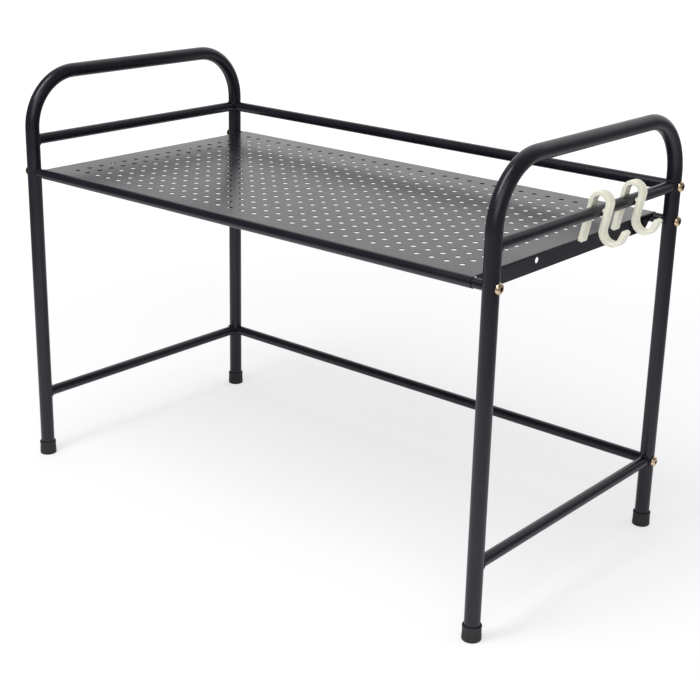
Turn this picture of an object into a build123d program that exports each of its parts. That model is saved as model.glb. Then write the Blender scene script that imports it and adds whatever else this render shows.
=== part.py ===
from build123d import *
import os
from math import acos, atan2, cos, hypot, radians, sin, tan

# Microwave shelf, in millimetres. The origin is on the floor, midway between the four legs.
# +X is the shelf's right, -Y its front and +Z up.

# Side frames: one bent tube each, an upside-down U
leg_d = 16.0
leg_wall = 1.0
leg_span_x = 640.0
leg_span_y = 328.0

# Heights: the deck above the floor, and what stands above it
deck_tube_z = 353.0
guard_rail_rise = 37.0
top_bar_rise = 74.0
bend_start_rise = 12.0
lower_rail_z = 79.0

# Thin rails between the legs
rail_d = 12.0
rail_wall = 0.8
seat_gap = 0.05
corner_gap = 0.5

# Weld beads where the side rails meet the legs
bead_width = 1.5
bead_height = 1.7

# Tubes that carry the deck
deck_tube_d = 10.0
deck_tube_wall = 0.8

# Deck: one perforated sheet, rolled round its two tubes, with a flange down at each side
sheet_t = 0.6
deck_side_gap = 18.5
roll_gap = 0.05
roll_wrap_angle = 262.0
flange_drop = 17.0
flange_bend_r = 1.8
flange_end_gap = 0.3
flange_end_angle = 45.0
flange_hole_d = 6.0
flange_hole_drop = 6.2
flange_hole_span_y = 124.0
hole_d = 6.0
hole_pitch = 17.5
hole_margin_x = 25.0
hole_margin_y = 22.0

# Rubber caps on the leg ends
foot_wall = 1.8
foot_h = 16.0
foot_floor = 3.5
foot_edge_r = 1.2
foot_fit = 0.05

# Bolts through the legs, and the threaded plugs in the tube ends that take them
screw_d = 6.0
screw_hole_clear = 0.2
screw_head_d = 11.0
screw_head_h = 3.2
screw_head_edge = 0.7
screw_flat_d = 5.6
screw_reach = 11.0
socket_span = 4.0
socket_depth = 2.1
plug_length = 14.0
plug_fit = 0.03
thread_clear = 0.05

# Hooks on the right guard rail
hook_front_y = 14.0
hook_rear_y = 77.0
hook_width = 11.0
hook_t = 5.0
hook_edge_share = 0.24
hook_end_share = 0.3
hook_grip_gap = 0.3
hook_stem_gap = 1.4
hook_tail_drop = 36.0
hook_loop_rise = 9.2
hook_nib_r = 2.2
hook_nib_angle = 25.0
hook_cup_r = 8.7
hook_cup_drop = 14.6
hook_tip_angle = 12.0
hook_tip_length = 9.4

# Cuts run past the faces by this much
overrun = 1.0

# Sizes that follow from the ones above
leg_r = leg_d / 2
rail_r = rail_d / 2
deck_tube_r = deck_tube_d / 2
leg_x = leg_span_x / 2
leg_y = leg_span_y / 2
guard_rail_z = deck_tube_z + guard_rail_rise
top_bar_z = guard_rail_z + top_bar_rise
bend_r = top_bar_rise - bend_start_rise
cope_r = leg_r + seat_gap
roll_in_r = deck_tube_r + roll_gap
roll_out_r = roll_in_r + sheet_t
deck_top_z = deck_tube_z + roll_out_r
deck_width = leg_span_x - 2 * deck_side_gap
flange_slope = radians(flange_end_angle)
flange_top_in = (roll_out_r + flange_end_gap - roll_in_r * cos(flange_slope)) / sin(flange_slope)
flange_bottom_in = flange_top_in + (flange_drop - sheet_t) / tan(flange_slope)
hole_columns = int((deck_width - 2 * hole_margin_x) / hole_pitch) + 1
hole_rows = int((leg_span_y - 2 * hole_margin_y) / hole_pitch) + 1

# The way out from the middle at each side, and the Y of each pair of legs
side_out = {"left": -1, "right": 1}
end_y = {"front": -leg_y, "rear": leg_y}

# Each cross tube's Y and Z, with its radius and wall
cross_tubes = {
    "rear_guard_rail": (leg_y, guard_rail_z, rail_r, rail_wall),
    "rear_lower_rail": (leg_y, lower_rail_z, rail_r, rail_wall),
    "front_deck_tube": (-leg_y, deck_tube_z, deck_tube_r, deck_tube_wall),
    "rear_deck_tube": (leg_y, deck_tube_z, deck_tube_r, deck_tube_wall),
}
# Each bolt's name, and the cross tube whose end it holds
bolted_tubes = {
    "guard_rear": "rear_guard_rail",
    "lower_rear": "rear_lower_rail",
    "deck_front": "front_deck_tube",
    "deck_rear": "rear_deck_tube",
}

os.makedirs("parts", exist_ok=True)


def save(part, name):
    part.label = name
    export_step(part, f"parts/{name}.step")


# Side frame tubes: up the front leg, over the top bar and down the rear leg, with the bolt holes
for side, out in side_out.items():
    x = out * leg_x
    with BuildPart() as frame_tube:
        with BuildLine(Plane.YZ.offset(x)):
            FilletPolyline(
                (-leg_y, foot_floor),
                (-leg_y, top_bar_z),
                (leg_y, top_bar_z),
                (leg_y, foot_floor),
                radius=bend_r,
            )
        with BuildSketch(Plane((x, -leg_y, foot_floor))):
            Circle(leg_r)
            Circle(leg_r - leg_wall, mode=Mode.SUBTRACT)
        sweep()
        with BuildSketch(Plane.YZ.offset(x)):
            with Locations([(y, z) for y, z, radius, wall in cross_tubes.values()]):
                Circle(screw_d / 2 + screw_hole_clear)
        extrude(amount=leg_r + overrun, both=True, mode=Mode.SUBTRACT)
    save(frame_tube.part, f"{side}_frame_tube")

# Side rails: welded front to back between the legs, with coped ends
for side, out in side_out.items():
    x = out * leg_x
    for rail, z in {"guard": guard_rail_z, "lower": lower_rail_z}.items():
        with BuildPart() as side_rail:
            with BuildSketch(Plane.XZ):
                with Locations((x, z)):
                    Circle(rail_r)
                    Circle(rail_r - rail_wall, mode=Mode.SUBTRACT)
            extrude(amount=leg_y, both=True)
            with Locations([(x, y, z) for y in end_y.values()]):
                Cylinder(cope_r, rail_d + 2 * overrun, mode=Mode.SUBTRACT)
        save(side_rail.part, f"{side}_{rail}_rail")

# Weld beads: a ring round each side rail's end that follows the leg, cut clear of the cross rails
for side, out in side_out.items():
    x = out * leg_x
    with BuildPart() as weld_beads:
        with BuildSketch(Plane.XZ):
            with Locations((x, guard_rail_z), (x, lower_rail_z)):
                Circle(rail_r + bead_width)
                Circle(rail_r + seat_gap, mode=Mode.SUBTRACT)
        extrude(amount=leg_y, both=True)
        with BuildSketch(Plane.XY):
            with Locations((x, -leg_y), (x, leg_y)):
                Circle(leg_r + bead_height)
                Circle(cope_r, mode=Mode.SUBTRACT)
        extrude(amount=top_bar_z, mode=Mode.INTERSECT)
        with BuildSketch(Plane.YZ.offset(x)):
            with Locations((leg_y, guard_rail_z), (leg_y, lower_rail_z)):
                Circle(rail_r + corner_gap)
        extrude(amount=-out * leg_d, mode=Mode.SUBTRACT)
    save(weld_beads.part, f"{side}_weld_beads")

# Cross tubes: bolted left to right between the legs, with coped ends that stop short of the side rails
for name, (y, z, radius, wall) in cross_tubes.items():
    with BuildPart() as cross_tube:
        with BuildSketch(Plane.YZ):
            with Locations((y, z)):
                Circle(radius)
                Circle(radius - wall, mode=Mode.SUBTRACT)
        extrude(amount=leg_x - rail_r - corner_gap, both=True)
        with Locations((-leg_x, y, z), (leg_x, y, z)):
            Cylinder(cope_r, 2 * (radius + overrun), mode=Mode.SUBTRACT)
    save(cross_tube.part, name)

# Deck sheet: flat top, side flanges bent down and cut on a slant clear of the rolls, a rolled front and
# rear edge, and the perforations
with BuildPart() as deck_panel:
    with BuildSketch(Plane.XZ) as bent_sheet:
        with Locations((0, deck_top_z)):
            Rectangle(deck_width, flange_drop, align=(Align.CENTER, Align.MAX))
        fillet(bent_sheet.vertices().group_by(Axis.Y)[-1], flange_bend_r)
    extrude(amount=leg_y, both=True)
    with BuildSketch(Plane.XZ) as hollow:
        with Locations((0, deck_top_z - sheet_t)):
            Rectangle(deck_width - 2 * sheet_t, flange_drop, align=(Align.CENTER, Align.MAX))
        fillet(hollow.vertices().group_by(Axis.Y)[-1], flange_bend_r - sheet_t)
    extrude(amount=leg_y, both=True, mode=Mode.SUBTRACT)
    with BuildSketch(Plane.YZ):
        with BuildLine():
            Polyline(
                (leg_y - flange_top_in, deck_top_z - sheet_t),
                (leg_y + overrun, deck_top_z - sheet_t),
                (leg_y + overrun, deck_top_z - flange_drop),
                (leg_y - flange_bottom_in, deck_top_z - flange_drop),
                close=True,
            )
        make_face()
        mirror(about=Plane.YZ)
    extrude(amount=deck_width, both=True, mode=Mode.SUBTRACT)
    for y, wrap in ((-leg_y, roll_wrap_angle), (leg_y, -roll_wrap_angle)):
        with BuildSketch(Plane.YZ):
            with BuildLine():
                outside = CenterArc((y, deck_tube_z), roll_out_r, 90, wrap)
                inside = CenterArc((y, deck_tube_z), roll_in_r, 90, wrap)
                Line(outside @ 0, inside @ 0)
                Line(outside @ 1, inside @ 1)
            make_face()
        extrude(amount=deck_width / 2, both=True)
    with BuildSketch(Plane.XY.offset(deck_top_z)):
        with GridLocations(hole_pitch, hole_pitch, hole_columns, hole_rows):
            Circle(hole_d / 2)
    extrude(amount=-2 * sheet_t, mode=Mode.SUBTRACT)
    with BuildSketch(Plane.YZ):
        with Locations((0, deck_top_z - flange_hole_drop)):
            with GridLocations(flange_hole_span_y, 0, 2, 1):
                Circle(flange_hole_d / 2)
    extrude(amount=deck_width, both=True, mode=Mode.SUBTRACT)
save(deck_panel.part, "deck_panel")

# Rubber caps: a cup on each leg end, rounded at the floor and at the rim
for end, y in end_y.items():
    for side, out in side_out.items():
        x = out * leg_x
        with BuildPart() as foot:
            with BuildSketch(Plane((x, y, 0))):
                Circle(leg_r + foot_wall)
            extrude(amount=foot_h)
            fillet(foot.edges().group_by(Axis.Z)[0], foot_edge_r)
            fillet(foot.edges().group_by(Axis.Z)[-1], foot_wall / 2)
            with BuildSketch(Plane((x, y, foot_floor))):
                Circle(leg_r + foot_fit)
            extrude(amount=foot_h, mode=Mode.SUBTRACT)
        save(foot.part, f"foot_{end}_{side}")

# Bolts: a button head with a six-sided socket, on the leg's outer side, and a plain shank
for side, out in side_out.items():
    for place, tube in bolted_tubes.items():
        y, z, radius, wall = cross_tubes[tube]
        seat = Plane((out * (leg_x + cope_r), y, z), x_dir=(0, 1, 0), z_dir=(out, 0, 0))
        with BuildPart() as screw:
            with BuildSketch(Plane(seat.origin, x_dir=(0, 1, 0), z_dir=(0, 0, -out))):
                with BuildLine():
                    Line((0, screw_head_h), (0, 0))
                    Line((0, 0), (screw_head_d / 2, 0))
                    Line((screw_head_d / 2, 0), (screw_head_d / 2, screw_head_edge))
                    Line((0, screw_head_h), (screw_flat_d / 2, screw_head_h))
                    TangentArc(
                        (screw_flat_d / 2, screw_head_h), (screw_head_d / 2, screw_head_edge), tangent=(1, 0)
                    )
                make_face()
            revolve(axis=Axis(seat.origin, (1, 0, 0)))
            with BuildSketch(seat.offset(screw_head_h)):
                RegularPolygon(socket_span / 2, 6, major_radius=False)
            extrude(amount=-socket_depth, mode=Mode.SUBTRACT)
            with BuildSketch(seat):
                Circle(screw_d / 2)
            extrude(amount=-(leg_d + screw_reach))
        save(screw.part, f"screw_{place}_{side}")

# Threaded plugs: pressed into the cross tubes' ends, behind the legs
for side, out in side_out.items():
    for place, tube in bolted_tubes.items():
        y, z, radius, wall = cross_tubes[tube]
        with BuildPart() as plug:
            with BuildSketch(Plane((out * (leg_x - cope_r), y, z), z_dir=(-out, 0, 0))):
                Circle(radius - wall - plug_fit)
                Circle(screw_d / 2 + thread_clear, mode=Mode.SUBTRACT)
            extrude(amount=plug_length)
        save(plug.part, f"plug_{place}_{side}")

# Hooks: a flat bar bent over the rail, drawn upright about the rail's axis, u outwards and v up
tail_u = -(rail_r + hook_grip_gap + hook_t / 2)
stem_u = rail_r + hook_stem_gap + hook_t / 2
loop_r = (stem_u - tail_u) / 2
cup_path_r = hook_cup_r + hook_t / 2
cup_u = stem_u + cup_path_r
tip_turn = radians(hook_tip_angle)
hook_edge_r = hook_edge_share * hook_t
hook_end_r = hook_end_share * hook_t
nib_reach = rail_r + hook_grip_gap + hook_nib_r

# A hook's weight is outside the rail, so it leans until its tail's rounded end meets the deck's flange
tail_end_in = hook_t / 2 - tail_u - hook_end_r
tail_end_down = hook_tail_drop - hook_end_r
tail_end_reach = deck_side_gap - hook_grip_gap - hook_end_r
lean = atan2(tail_end_down, tail_end_in) - acos(tail_end_reach / hypot(tail_end_in, tail_end_down))

for place, y in {"front": hook_front_y, "rear": hook_rear_y}.items():
    hook_plane = Plane((leg_x, y, guard_rail_z), x_dir=(cos(lean), 0, -sin(lean)), z_dir=(0, -1, 0))
    with BuildPart() as hook:
        with BuildLine(hook_plane) as bar:
            Line((tail_u, -hook_tail_drop), (tail_u, hook_loop_rise))
            CenterArc((tail_u + loop_r, hook_loop_rise), loop_r, 180, -180)
            Line((stem_u, hook_loop_rise), (stem_u, -hook_cup_drop))
            CenterArc((cup_u, -hook_cup_drop), cup_path_r, 180, 180 - hook_tip_angle)
            PolarLine(
                (cup_u + cup_path_r * cos(tip_turn), -hook_cup_drop - cup_path_r * sin(tip_turn)),
                hook_tip_length,
                90 - hook_tip_angle,
            )
        with BuildSketch(Plane(bar.line @ 0, x_dir=(0, 1, 0), z_dir=bar.line % 0)):
            RectangleRounded(hook_width, hook_t, hook_edge_r)
        sweep()
        tail_end = hook.faces().sort_by_distance(bar.line @ 0)[0]
        tip_end = hook.faces().sort_by_distance(bar.line @ 1)[0]
        fillet(tail_end.edges() + tip_end.edges(), hook_end_r)
        with BuildSketch(hook_plane):
            with PolarLocations(nib_reach, 1, start_angle=hook_nib_angle):
                Circle(hook_nib_r)
        extrude(amount=hook_width / 2 - hook_edge_r, both=True)
    save(hook.part, f"hook_{place}")
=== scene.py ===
import math

import bpy
from mathutils import Euler, Matrix, Vector


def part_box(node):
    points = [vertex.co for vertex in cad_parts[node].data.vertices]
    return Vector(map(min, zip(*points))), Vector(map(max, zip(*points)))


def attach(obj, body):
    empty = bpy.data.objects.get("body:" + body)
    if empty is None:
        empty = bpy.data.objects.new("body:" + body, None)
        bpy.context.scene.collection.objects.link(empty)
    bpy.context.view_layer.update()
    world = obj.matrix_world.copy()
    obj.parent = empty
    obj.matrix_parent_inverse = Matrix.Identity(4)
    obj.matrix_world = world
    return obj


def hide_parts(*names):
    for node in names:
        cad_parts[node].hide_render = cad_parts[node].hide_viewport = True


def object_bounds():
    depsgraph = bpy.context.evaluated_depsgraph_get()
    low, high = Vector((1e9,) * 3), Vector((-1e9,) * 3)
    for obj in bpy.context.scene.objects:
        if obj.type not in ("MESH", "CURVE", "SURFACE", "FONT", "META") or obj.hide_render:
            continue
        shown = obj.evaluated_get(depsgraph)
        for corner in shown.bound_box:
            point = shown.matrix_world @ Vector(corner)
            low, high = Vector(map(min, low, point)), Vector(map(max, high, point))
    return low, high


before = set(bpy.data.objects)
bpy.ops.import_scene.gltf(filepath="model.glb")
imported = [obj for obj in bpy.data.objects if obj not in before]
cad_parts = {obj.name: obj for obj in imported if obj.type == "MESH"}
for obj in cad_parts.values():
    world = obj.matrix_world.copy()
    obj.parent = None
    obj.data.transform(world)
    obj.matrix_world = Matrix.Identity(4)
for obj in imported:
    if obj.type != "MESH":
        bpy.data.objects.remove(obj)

cad_low, cad_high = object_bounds()

# Side frames and rails. Bent steel tube legs with thinner rails, welded front to back and bolted left to
# right. All are sprayed and stoved in a semi-gloss black enamel with a faint blue cast and orange peel.
MM = 0.001
ENAMEL_DEEP = (0.0034, 0.0034, 0.0085, 1.0)
ENAMEL_HANDLED = (0.0068, 0.0068, 0.0125, 1.0)
HANDLED_PATCH = 55 * MM
HANDLED_TONES = (0.4, 0.7)
HANDLED_GLOSS = (0.35, 0.7)
TUBE_ROUGHNESS = (0.27, 0.34)
ORANGE_PEEL = 2.4 * MM
PEEL_DEPTH = 0.005 * MM
MIX_SHARE = 0
MIX_FIRST_COLOUR = 6
MIX_SECOND_COLOUR = 7
MIX_COLOUR_OUT = 2


def start_material(name):
    """A new material, with its shader and its object coordinates."""
    material = bpy.data.materials.new(name)
    material.use_nodes = True
    tree = material.node_tree
    place = tree.nodes.new("ShaderNodeTexCoord")
    return material, tree, tree.nodes["Principled BSDF"], place.outputs["Object"]


def feed(tree, value, socket):
    """Gives a socket its value: the output of another node, or a plain number or colour."""
    if isinstance(value, bpy.types.NodeSocket):
        tree.links.new(value, socket)
    else:
        socket.default_value = value


def mottle(tree, place, size, detail=3.0, roughness=0.5):
    """Soft noise whose patches are about as large as size."""
    node = tree.nodes.new("ShaderNodeTexNoise")
    node.inputs["Scale"].default_value = 1.0 / size
    node.inputs["Detail"].default_value = detail
    node.inputs["Roughness"].default_value = roughness
    tree.links.new(place, node.inputs["Vector"])
    return node.outputs["Fac"]


def stretch(tree, value, span, new_span=(0.0, 1.0), smooth=False):
    """Carries a value from its span over to a new one, and stops at the ends."""
    node = tree.nodes.new("ShaderNodeMapRange")
    node.interpolation_type = "SMOOTHSTEP" if smooth else "LINEAR"
    node.inputs["From Min"].default_value, node.inputs["From Max"].default_value = span
    node.inputs["To Min"].default_value, node.inputs["To Max"].default_value = new_span
    tree.links.new(value, node.inputs["Value"])
    return node.outputs["Result"]


def blend(tree, share, first, second):
    """The first colour where the share is 0 and the second where it is 1."""
    node = tree.nodes.new("ShaderNodeMix")
    node.data_type = "RGBA"
    tree.links.new(share, node.inputs[MIX_SHARE])
    feed(tree, first, node.inputs[MIX_FIRST_COLOUR])
    feed(tree, second, node.inputs[MIX_SECOND_COLOUR])
    return node.outputs[MIX_COLOUR_OUT]


def emboss(tree, shader, height, depth):
    """Raises the surface by the depth where the height is 1."""
    node = tree.nodes.new("ShaderNodeBump")
    node.inputs["Strength"].default_value = 1.0
    node.inputs["Distance"].default_value = depth
    tree.links.new(height, node.inputs["Height"])
    tree.links.new(node.outputs["Normal"], shader.inputs["Normal"])


def paint(node_name, material):
    """Gives a CAD node its finished material."""
    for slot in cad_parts[node_name].material_slots:
        slot.material = material


def black_enamel(name, roughness):
    """Sprayed enamel with its orange peel, a little paler and duller where it is handled."""
    material, tree, shader, place = start_material(name)
    handled = mottle(tree, place, HANDLED_PATCH, detail=4.0, roughness=0.6)
    colour = blend(tree, stretch(tree, handled, HANDLED_TONES), ENAMEL_DEEP, ENAMEL_HANDLED)
    tree.links.new(colour, shader.inputs["Base Color"])
    tree.links.new(stretch(tree, handled, HANDLED_GLOSS, roughness), shader.inputs["Roughness"])
    emboss(tree, shader, mottle(tree, place, ORANGE_PEEL, detail=1.0), PEEL_DEPTH)
    return material


tube_enamel = black_enamel("tube_enamel", TUBE_ROUGHNESS)
for side in ("left", "right"):
    for piece in ("frame_tube", "guard_rail", "lower_rail"):
        paint(f"{side}_{piece}", tube_enamel)
for tube in ("rear_guard_rail", "rear_lower_rail", "front_deck_tube", "rear_deck_tube"):
    paint(tube, tube_enamel)

# Weld beads. A short bead of weld metal laid by hand round each side rail's end, where it meets the leg.
# It follows the leg's curve in small ripples, and the enamel covers it.
rail_low, rail_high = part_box("left_lower_rail")
RAIL_RADIUS = (rail_high.z - rail_low.z) / 2
LEG_RADIUS = 8 * MM
BEAD_RADIUS = 1.05 * MM
BEAD_SIDES = 12
BEAD_STAND_OFF = 0.35 * MM
RING_RADIUS = RAIL_RADIUS + BEAD_STAND_OFF
RIPPLES = 23
RIPPLE_STEPS = 8
RIPPLE_SHARE = 0.13
RIPPLE_MIDDLE = 0.5
CROSS_RAIL_CLEAR = 0.3 * MM
TRIM_LENGTH = 4 * LEG_RADIUS
TRIM_SIDES = 64
QUARTER_TURN = math.pi / 2
CREASE = math.radians(50.0)


def lay_bead(leg_x, leg_y, rail_z, way):
    """One bead on the leg's face that looks the given way along Y, as a ring bent round the leg."""
    bpy.ops.mesh.primitive_torus_add(
        major_segments=RIPPLES * RIPPLE_STEPS,
        minor_segments=BEAD_SIDES,
        major_radius=RING_RADIUS,
        minor_radius=BEAD_RADIUS,
        location=(leg_x, leg_y, rail_z),
        rotation=(QUARTER_TURN, 0.0, 0.0),
    )
    bpy.ops.object.transform_apply()
    bead = bpy.context.object
    for vertex in bead.data.vertices:
        around = math.atan2(vertex.co.z - rail_z, vertex.co.x - leg_x)
        across = RING_RADIUS * math.cos(around)
        up = RING_RADIUS * math.sin(around)
        middle = Vector((leg_x + across, leg_y, rail_z + up))
        ripple = abs(math.sin(RIPPLES * around / 2 + math.sin(around))) - RIPPLE_MIDDLE
        seat = math.sqrt(LEG_RADIUS**2 - across**2) + BEAD_STAND_OFF
        vertex.co = middle + (vertex.co - middle) * (1.0 + RIPPLE_SHARE * ripple)
        vertex.co.y += way * seat
    return bead


def trim_bead(bead, leg_x, leg_y, rail_z):
    """Cuts a rear bead clear of the bolted cross rail that meets the same leg."""
    inward = -math.copysign(1.0, leg_x)
    bpy.ops.mesh.primitive_cylinder_add(
        vertices=TRIM_SIDES,
        radius=RAIL_RADIUS + CROSS_RAIL_CLEAR,
        depth=TRIM_LENGTH,
        location=(leg_x + inward * TRIM_LENGTH / 2, leg_y, rail_z),
        rotation=(0.0, QUARTER_TURN, 0.0),
    )
    cutter = bpy.context.object
    cut = bead.modifiers.new("clear_of_cross_rail", "BOOLEAN")
    cut.operation = "DIFFERENCE"
    cut.object = cutter
    bpy.context.view_layer.objects.active = bead
    bpy.ops.object.modifier_apply(modifier=cut.name)
    bpy.data.objects.remove(cutter)


for side in ("left", "right"):
    frame_low, frame_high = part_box(f"{side}_frame_tube")
    front_y, rear_y = frame_low.y + LEG_RADIUS, frame_high.y - LEG_RADIUS
    beads = []
    for rail in ("guard", "lower"):
        low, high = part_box(f"{side}_{rail}_rail")
        rail_x, rail_z = (low.x + high.x) / 2, (low.z + high.z) / 2
        beads.append(lay_bead(rail_x, front_y, rail_z, 1.0))
        beads.append(lay_bead(rail_x, rear_y, rail_z, -1.0))
        trim_bead(beads[-1], rail_x, rear_y, rail_z)
    bpy.ops.object.select_all(action="DESELECT")
    for bead in beads:
        bead.select_set(True)
    bpy.context.view_layer.objects.active = beads[0]
    bpy.ops.object.join()
    welds = bpy.context.object
    welds.name = f"{side}_welds"
    bpy.ops.object.shade_smooth_by_angle(angle=CREASE)
    welds.data.materials.append(tube_enamel)
    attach(welds, "shelf")
    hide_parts(f"{side}_weld_beads")

# Deck. One steel sheet, punched on a square grid, rolled round its two tubes and flanged down at the sides.
# It has the tubes' enamel, a little smoother because it was sprayed lying flat.
DECK_ROUGHNESS = (0.21, 0.26)
paint("deck_panel", black_enamel("deck_enamel", DECK_ROUGHNESS))

# Foot caps. Soft black rubber cups pushed over the leg ends, moulded with a slight flare and a rolled lip.
# The rubber is dull, with a fine grain and a trace of dust.
RUBBER_BLACK = (0.011, 0.011, 0.012, 1.0)
RUBBER_DUSTY = (0.026, 0.026, 0.028, 1.0)
DUST_PATCH = 9 * MM
DUST_TONES = (0.45, 0.75)
DUST_GLOSS = (0.3, 0.7)
RUBBER_ROUGHNESS = (0.55, 0.72)
RUBBER_GRAIN = 0.9 * MM
GRAIN_DEPTH = 0.03 * MM

rubber, tree, shader, place = start_material("foot_rubber")
dust = mottle(tree, place, DUST_PATCH, detail=5.0, roughness=0.65)
colour = blend(tree, stretch(tree, dust, DUST_TONES), RUBBER_BLACK, RUBBER_DUSTY)
tree.links.new(colour, shader.inputs["Base Color"])
tree.links.new(stretch(tree, dust, DUST_GLOSS, RUBBER_ROUGHNESS), shader.inputs["Roughness"])
emboss(tree, shader, mottle(tree, place, RUBBER_GRAIN, detail=2.0), GRAIN_DEPTH)

# A cap is turned from rings. They go from the hollow in its sole round the sole's edge, in to the waist,
# over the lip, and down inside on to the floor of the cup. The edges are given in millimetres.
cap_low, cap_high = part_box("foot_front_left")
CAP_RADIUS = (cap_high.x - cap_low.x) / 2
CAP_HEIGHT = cap_high.z - cap_low.z
CAP_SIDES = 64
SOLE_HOLLOW = 0.5 * MM
HOLLOW_SHARE, RIM_SHARE = 0.62, 0.70
EDGE_IN_AND_UP = ((1.2, 0.0), (0.55, 0.18), (0.18, 0.55), (0.0, 1.2))
CAP_WAIST = 0.40 * MM
WAIST_AND_LEVEL = ((0.25, 0.25), (0.75, 0.5))
LIP_IN_AND_DOWN = ((0.40, 2.7), (0.32, 2.2), (0.06, 1.584), (0.06, 0.88), (0.30, 0.286), (0.75, 0.0))
MOUTH_OUT_AND_DOWN = ((0.45, 0.05), (0.12, 0.45), (0.05, 1.2))
CUP_FIT = 0.05 * MM
CUP_FLOOR = 3.5 * MM
cap_rings = [(CAP_RADIUS * HOLLOW_SHARE, SOLE_HOLLOW), (CAP_RADIUS * RIM_SHARE, 0.0)]
cap_rings += [(CAP_RADIUS - inward * MM, up * MM) for inward, up in EDGE_IN_AND_UP]
cap_rings += [(CAP_RADIUS - share * CAP_WAIST, level * CAP_HEIGHT) for share, level in WAIST_AND_LEVEL]
cap_rings += [(CAP_RADIUS - inward * MM, CAP_HEIGHT - down * MM) for inward, down in LIP_IN_AND_DOWN]
cap_rings += [(LEG_RADIUS + outward * MM, CAP_HEIGHT - down * MM) for outward, down in MOUTH_OUT_AND_DOWN]
cap_rings.append((LEG_RADIUS + CUP_FIT, CUP_FLOOR))

first_radius, first_height = cap_rings[0]
bpy.ops.mesh.primitive_circle_add(
    vertices=CAP_SIDES, radius=first_radius, fill_type="NGON", location=(0.0, 0.0, first_height)
)
bpy.ops.object.transform_apply()
cap_pattern = bpy.context.object
bpy.ops.object.mode_set(mode="EDIT")
bpy.ops.mesh.select_all(action="SELECT")
for (old_radius, old_height), (radius, height) in zip(cap_rings, cap_rings[1:]):
    widening = radius / old_radius
    bpy.ops.mesh.extrude_region_move(TRANSFORM_OT_translate={"value": (0.0, 0.0, height - old_height)})
    bpy.ops.transform.resize(value=(widening, widening, 1.0), center_override=(0.0, 0.0, height))
bpy.ops.mesh.select_all(action="SELECT")
bpy.ops.mesh.normals_make_consistent(inside=False)
bpy.ops.object.mode_set(mode="OBJECT")
bpy.ops.object.shade_smooth_by_angle(angle=CREASE)
cap_pattern.data.materials.append(rubber)
for end in ("front", "rear"):
    for side in ("left", "right"):
        low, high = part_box(f"foot_{end}_{side}")
        cap = cap_pattern.copy()
        cap.data = cap_pattern.data.copy()
        cap.name = f"cap_{end}_{side}"
        cap.data.transform(Matrix.Translation(((low.x + high.x) / 2, (low.y + high.y) / 2, low.z)))
        bpy.context.scene.collection.objects.link(cap)
        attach(cap, "shelf")
        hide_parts(f"foot_{end}_{side}")
bpy.data.objects.remove(cap_pattern)

# Bolts and plugs. Brass-plated button heads with a six-sided socket, one on each bolted joint, in turned
# steel plugs that are pressed into the tube ends. The plating is bright with a little tarnish.
BRASS_BRIGHT = (0.85, 0.67, 0.46, 1.0)
BRASS_DULL = (0.55, 0.38, 0.24, 1.0)
# Painted shade: the hex socket's recess is coloured dark brown in place of the shade that falls in it.
SOCKET_PAINTED_SHADE = (0.10, 0.062, 0.034, 1.0)
SOCKET_EDGE = (2.1 * MM, 2.2 * MM)
TARNISH_PATCH = 4 * MM
TARNISH_TONES = (0.45, 0.8)
TARNISH_GLOSS = (0.3, 0.7)
BRASS_ROUGHNESS = (0.16, 0.32)
PLATING_GRAIN = 0.7 * MM
PLATING_DEPTH = 0.01 * MM
ACROSS_BOLT = (0.0, 1.0, 1.0)
STEEL_PALE = (0.56, 0.57, 0.60, 1.0)
STEEL_GREY = (0.36, 0.37, 0.40, 1.0)
TURNED_PATCH = 2 * MM
TURNED_GLOSS = (0.3, 0.7)
STEEL_ROUGHNESS = (0.25, 0.45)


def length_of(tree, vector):
    """How long a vector is at each point."""
    node = tree.nodes.new("ShaderNodeVectorMath")
    node.operation = "LENGTH"
    tree.links.new(vector, node.inputs["Vector"])
    return node.outputs["Value"]


def plated_brass(name, middle_y, middle_z):
    """Brass plating that is bright on the head, with painted shade in the socket round the bolt's axis."""
    material, tree, shader, place = start_material(name)
    shader.inputs["Metallic"].default_value = 1.0
    tarnish = mottle(tree, place, TARNISH_PATCH, detail=4.0, roughness=0.6)
    plating = blend(tree, stretch(tree, tarnish, TARNISH_TONES), BRASS_BRIGHT, BRASS_DULL)
    from_axis = tree.nodes.new("ShaderNodeVectorMath")
    from_axis.operation = "MULTIPLY_ADD"
    point, kept, moved, *_ = from_axis.inputs
    tree.links.new(place, point)
    kept.default_value = ACROSS_BOLT
    moved.default_value = (0.0, -middle_y, -middle_z)
    # The socket round the bolt's axis is painted dark brown as painted shade, with the plating outside it.
    clear_of_painted_shade = stretch(tree, length_of(tree, from_axis.outputs["Vector"]), SOCKET_EDGE)
    tree.links.new(blend(tree, clear_of_painted_shade, SOCKET_PAINTED_SHADE, plating), shader.inputs["Base Color"])
    tree.links.new(stretch(tree, tarnish, TARNISH_GLOSS, BRASS_ROUGHNESS), shader.inputs["Roughness"])
    emboss(tree, shader, mottle(tree, place, PLATING_GRAIN), PLATING_DEPTH)
    return material


steel, tree, shader, place = start_material("plug_steel")
shader.inputs["Metallic"].default_value = 1.0
turned = mottle(tree, place, TURNED_PATCH, detail=4.0, roughness=0.6)
tree.links.new(blend(tree, turned, STEEL_PALE, STEEL_GREY), shader.inputs["Base Color"])
tree.links.new(stretch(tree, turned, TURNED_GLOSS, STEEL_ROUGHNESS), shader.inputs["Roughness"])

for side in ("left", "right"):
    for joint in ("deck_front", "deck_rear", "guard_rear", "lower_rear"):
        low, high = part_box(f"screw_{joint}_{side}")
        brass = plated_brass(f"brass_{joint}_{side}", (low.y + high.y) / 2, (low.z + high.z) / 2)
        paint(f"screw_{joint}_{side}", brass)
        paint(f"plug_{joint}_{side}", steel)

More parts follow.
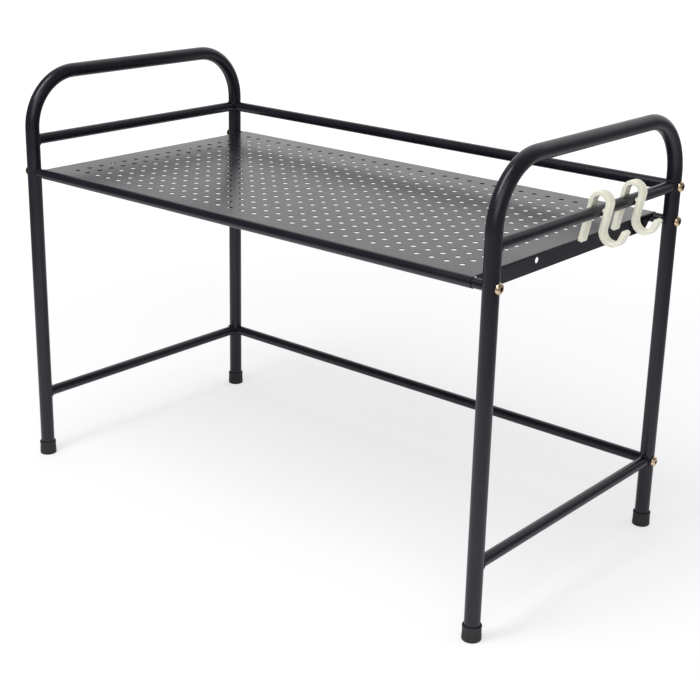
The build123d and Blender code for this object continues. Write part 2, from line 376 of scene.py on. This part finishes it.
# Hooks. Each is a flat bar of ivory plastic, moulded in its S shape and hung over the right guard rail.
# It is satin, a little waxy where it is thin, and slightly uneven in colour.
IVORY_PALE = (0.83, 0.82, 0.70, 1.0)
IVORY_WARM = (0.78, 0.76, 0.61, 1.0)
CLOUD_PATCH = 11 * MM
CLOUD_TONES = (0.4, 0.75)
CLOUD_GLOSS = (0.3, 0.7)
IVORY_ROUGHNESS = (0.32, 0.44)
WAX_SHARE = 0.15
WAX_TINT = (1.0, 0.85, 0.55)
WAX_DEPTH = 2 * MM
MOULD_GRAIN = 1.1 * MM
MOULD_DEPTH = 0.012 * MM

ivory, tree, shader, place = start_material("hook_ivory")
clouds = mottle(tree, place, CLOUD_PATCH)
colour = blend(tree, stretch(tree, clouds, CLOUD_TONES), IVORY_PALE, IVORY_WARM)
tree.links.new(colour, shader.inputs["Base Color"])
tree.links.new(stretch(tree, clouds, CLOUD_GLOSS, IVORY_ROUGHNESS), shader.inputs["Roughness"])
shader.inputs["Subsurface Weight"].default_value = WAX_SHARE
shader.inputs["Subsurface Radius"].default_value = WAX_TINT
shader.inputs["Subsurface Scale"].default_value = WAX_DEPTH
emboss(tree, shader, mottle(tree, place, MOULD_GRAIN, detail=2.0), MOULD_DEPTH)
paint("hook_front", ivory)
paint("hook_rear", ivory)

# Floor. A wide plain sheet that the shelf stands on, painted matt white. It takes the shelf's soft shadow
# and goes over to pure white further out. Where the enamel mirrors it, it darkens further out as painted
# shade.
FLOOR_SPAN = 14.0
FLOOR_WHITE = (0.86, 0.865, 0.89, 1.0)
FLOOR_PAINTED_SHADE = (0.30, 0.30, 0.31, 1.0)
FLOOR_GLOW = 1.12
GLOW_REACH = (0.6, 1.7)
GLOW_SHARES = (0.50, 1.0)
PAINTED_SHADE_REACH = (0.5, 1.5)


def cover(tree, share, under, over):
    """The shader under where the share is 0, and the shader over it where it is 1."""
    node = tree.nodes.new("ShaderNodeMixShader")
    share_in, under_in, over_in = node.inputs
    tree.links.new(share, share_in)
    tree.links.new(under, under_in)
    tree.links.new(over, over_in)
    return node.outputs["Shader"]


bpy.ops.mesh.primitive_plane_add(size=FLOOR_SPAN, location=(0.0, 0.0, cad_low.z))
floor = bpy.context.object
floor.name = "floor"
floor_paint = bpy.data.materials.new("floor_paint")
floor_paint.use_nodes = True
tree = floor_paint.node_tree
tree.nodes.clear()
place = tree.nodes.new("ShaderNodeTexCoord")
away = length_of(tree, place.outputs["Object"])
ray = tree.nodes.new("ShaderNodeLightPath")
lit = tree.nodes.new("ShaderNodeBsdfDiffuse")
lit.inputs["Color"].default_value = FLOOR_WHITE
glow = tree.nodes.new("ShaderNodeEmission")
glow.inputs["Strength"].default_value = FLOOR_GLOW
# Painted shade: glossy rays see the floor's colour fade to dark grey further out, in place of light falling
# off.
mirrored = tree.nodes.new("ShaderNodeBsdfDiffuse")
painted_shade_share = stretch(tree, away, PAINTED_SHADE_REACH, smooth=True)
tree.links.new(blend(tree, painted_shade_share, FLOOR_WHITE, FLOOR_PAINTED_SHADE), mirrored.inputs["Color"])
glowing = stretch(tree, away, GLOW_REACH, GLOW_SHARES, smooth=True)
seen = cover(tree, glowing, lit.outputs["BSDF"], glow.outputs["Emission"])
surface = cover(tree, ray.outputs["Is Camera Ray"], lit.outputs["BSDF"], seen)
surface = cover(tree, ray.outputs["Is Glossy Ray"], surface, mirrored.outputs["BSDF"])
output = tree.nodes.new("ShaderNodeOutputMaterial")
tree.links.new(surface, output.inputs["Surface"])
floor.data.materials.append(floor_paint)

# Studio. A white room, with a bright backdrop behind the shelf that its enamel mirrors, a tall soft lamp
# panel above the shelf's front, and a large square one on the camera's side.
ROOM_WHITE = (1.0, 1.0, 1.0, 1.0)
ROOM_LIGHT = 0.68
ROOM_IN_GLOSS = 0.18
BACKDROP_WAY = (-0.33, 0.83, 0.45)
BACKDROP_EDGE = (0.58, 0.92)
BACKDROP_LIGHT = 1.0
GLOSS_LIGHTS = (ROOM_IN_GLOSS, BACKDROP_LIGHT)
MIX_FIRST_NUMBER = 2
MIX_SECOND_NUMBER = 3
MIX_NUMBER_OUT = 0


def choose(tree, switch, off, on):
    """The off value where the switch is 0, and the on value where it is 1. Either can be a number."""
    node = tree.nodes.new("ShaderNodeMix")
    tree.links.new(switch, node.inputs[MIX_SHARE])
    feed(tree, off, node.inputs[MIX_FIRST_NUMBER])
    feed(tree, on, node.inputs[MIX_SECOND_NUMBER])
    return node.outputs[MIX_NUMBER_OUT]


def soft_lamp(name, place, target, width, height, watts):
    """A lamp panel that faces its target."""
    data = bpy.data.lights.new(name, "AREA")
    data.shape = "RECTANGLE"
    data.size = width
    data.size_y = height
    data.energy = watts
    lamp = bpy.data.objects.new(name, data)
    bpy.context.scene.collection.objects.link(lamp)
    lamp.location = place
    lamp.rotation_euler = (Vector(target) - Vector(place)).to_track_quat("-Z", "Y").to_euler()


world = bpy.data.worlds.new("studio")
bpy.context.scene.world = world
world.use_nodes = True
tree = world.node_tree
sky = tree.nodes["Background"]
sky.inputs["Color"].default_value = ROOM_WHITE
place = tree.nodes.new("ShaderNodeTexCoord")
towards = tree.nodes.new("ShaderNodeVectorMath")
towards.operation = "DOT_PRODUCT"
way, backdrop_way, *_ = towards.inputs
tree.links.new(place.outputs["Generated"], way)
backdrop_way.default_value = BACKDROP_WAY
backdrop = stretch(tree, towards.outputs["Value"], BACKDROP_EDGE, GLOSS_LIGHTS, smooth=True)
ray = tree.nodes.new("ShaderNodeLightPath")
strength = choose(tree, ray.outputs["Is Glossy Ray"], ROOM_LIGHT, backdrop)
strength = choose(tree, ray.outputs["Is Transmission Ray"], strength, BACKDROP_LIGHT)
strength = choose(tree, ray.outputs["Is Camera Ray"], strength, BACKDROP_LIGHT)
tree.links.new(strength, sky.inputs["Strength"])

shelf_middle = (cad_low + cad_high) / 2
soft_lamp("overhead", (-0.2, -1.05, 2.1), shelf_middle, width=0.5, height=1.5, watts=22.0)
soft_lamp("camera_side", (1.3, -1.9, 1.6), shelf_middle, width=1.8, height=1.8, watts=18.0)

# Camera. A long lens in front of the shelf's right end and above its deck, looking down on it as it was
# photographed. The lens is shifted slightly, for the shelf's place in the picture.
PICTURE_PIXELS = 700.0
FOCAL_PIXELS = 1400.8
LENS_SHIFT = -0.05
CAMERA_PLACE = (0.978, -1.146, 0.7167)
LOOK_DOWN = math.radians(18.47)
LOOK_LEFT = math.radians(39.81)
CAMERA_ROLL = math.radians(1.32)
camera_data = bpy.data.cameras.new("camera")
camera_data.lens = FOCAL_PIXELS / PICTURE_PIXELS * camera_data.sensor_width
camera_data.shift_y = LENS_SHIFT
camera = bpy.data.objects.new("camera", camera_data)
bpy.context.scene.collection.objects.link(camera)
aim = Euler((QUARTER_TURN - LOOK_DOWN, 0.0, LOOK_LEFT)).to_matrix()
tilt = Matrix.Rotation(CAMERA_ROLL, 3, "Z")
camera.matrix_world = Matrix.Translation(CAMERA_PLACE) @ (aim @ tilt).to_4x4()
bpy.context.scene.camera = camera
bpy.context.scene.view_settings.view_transform = "Standard"
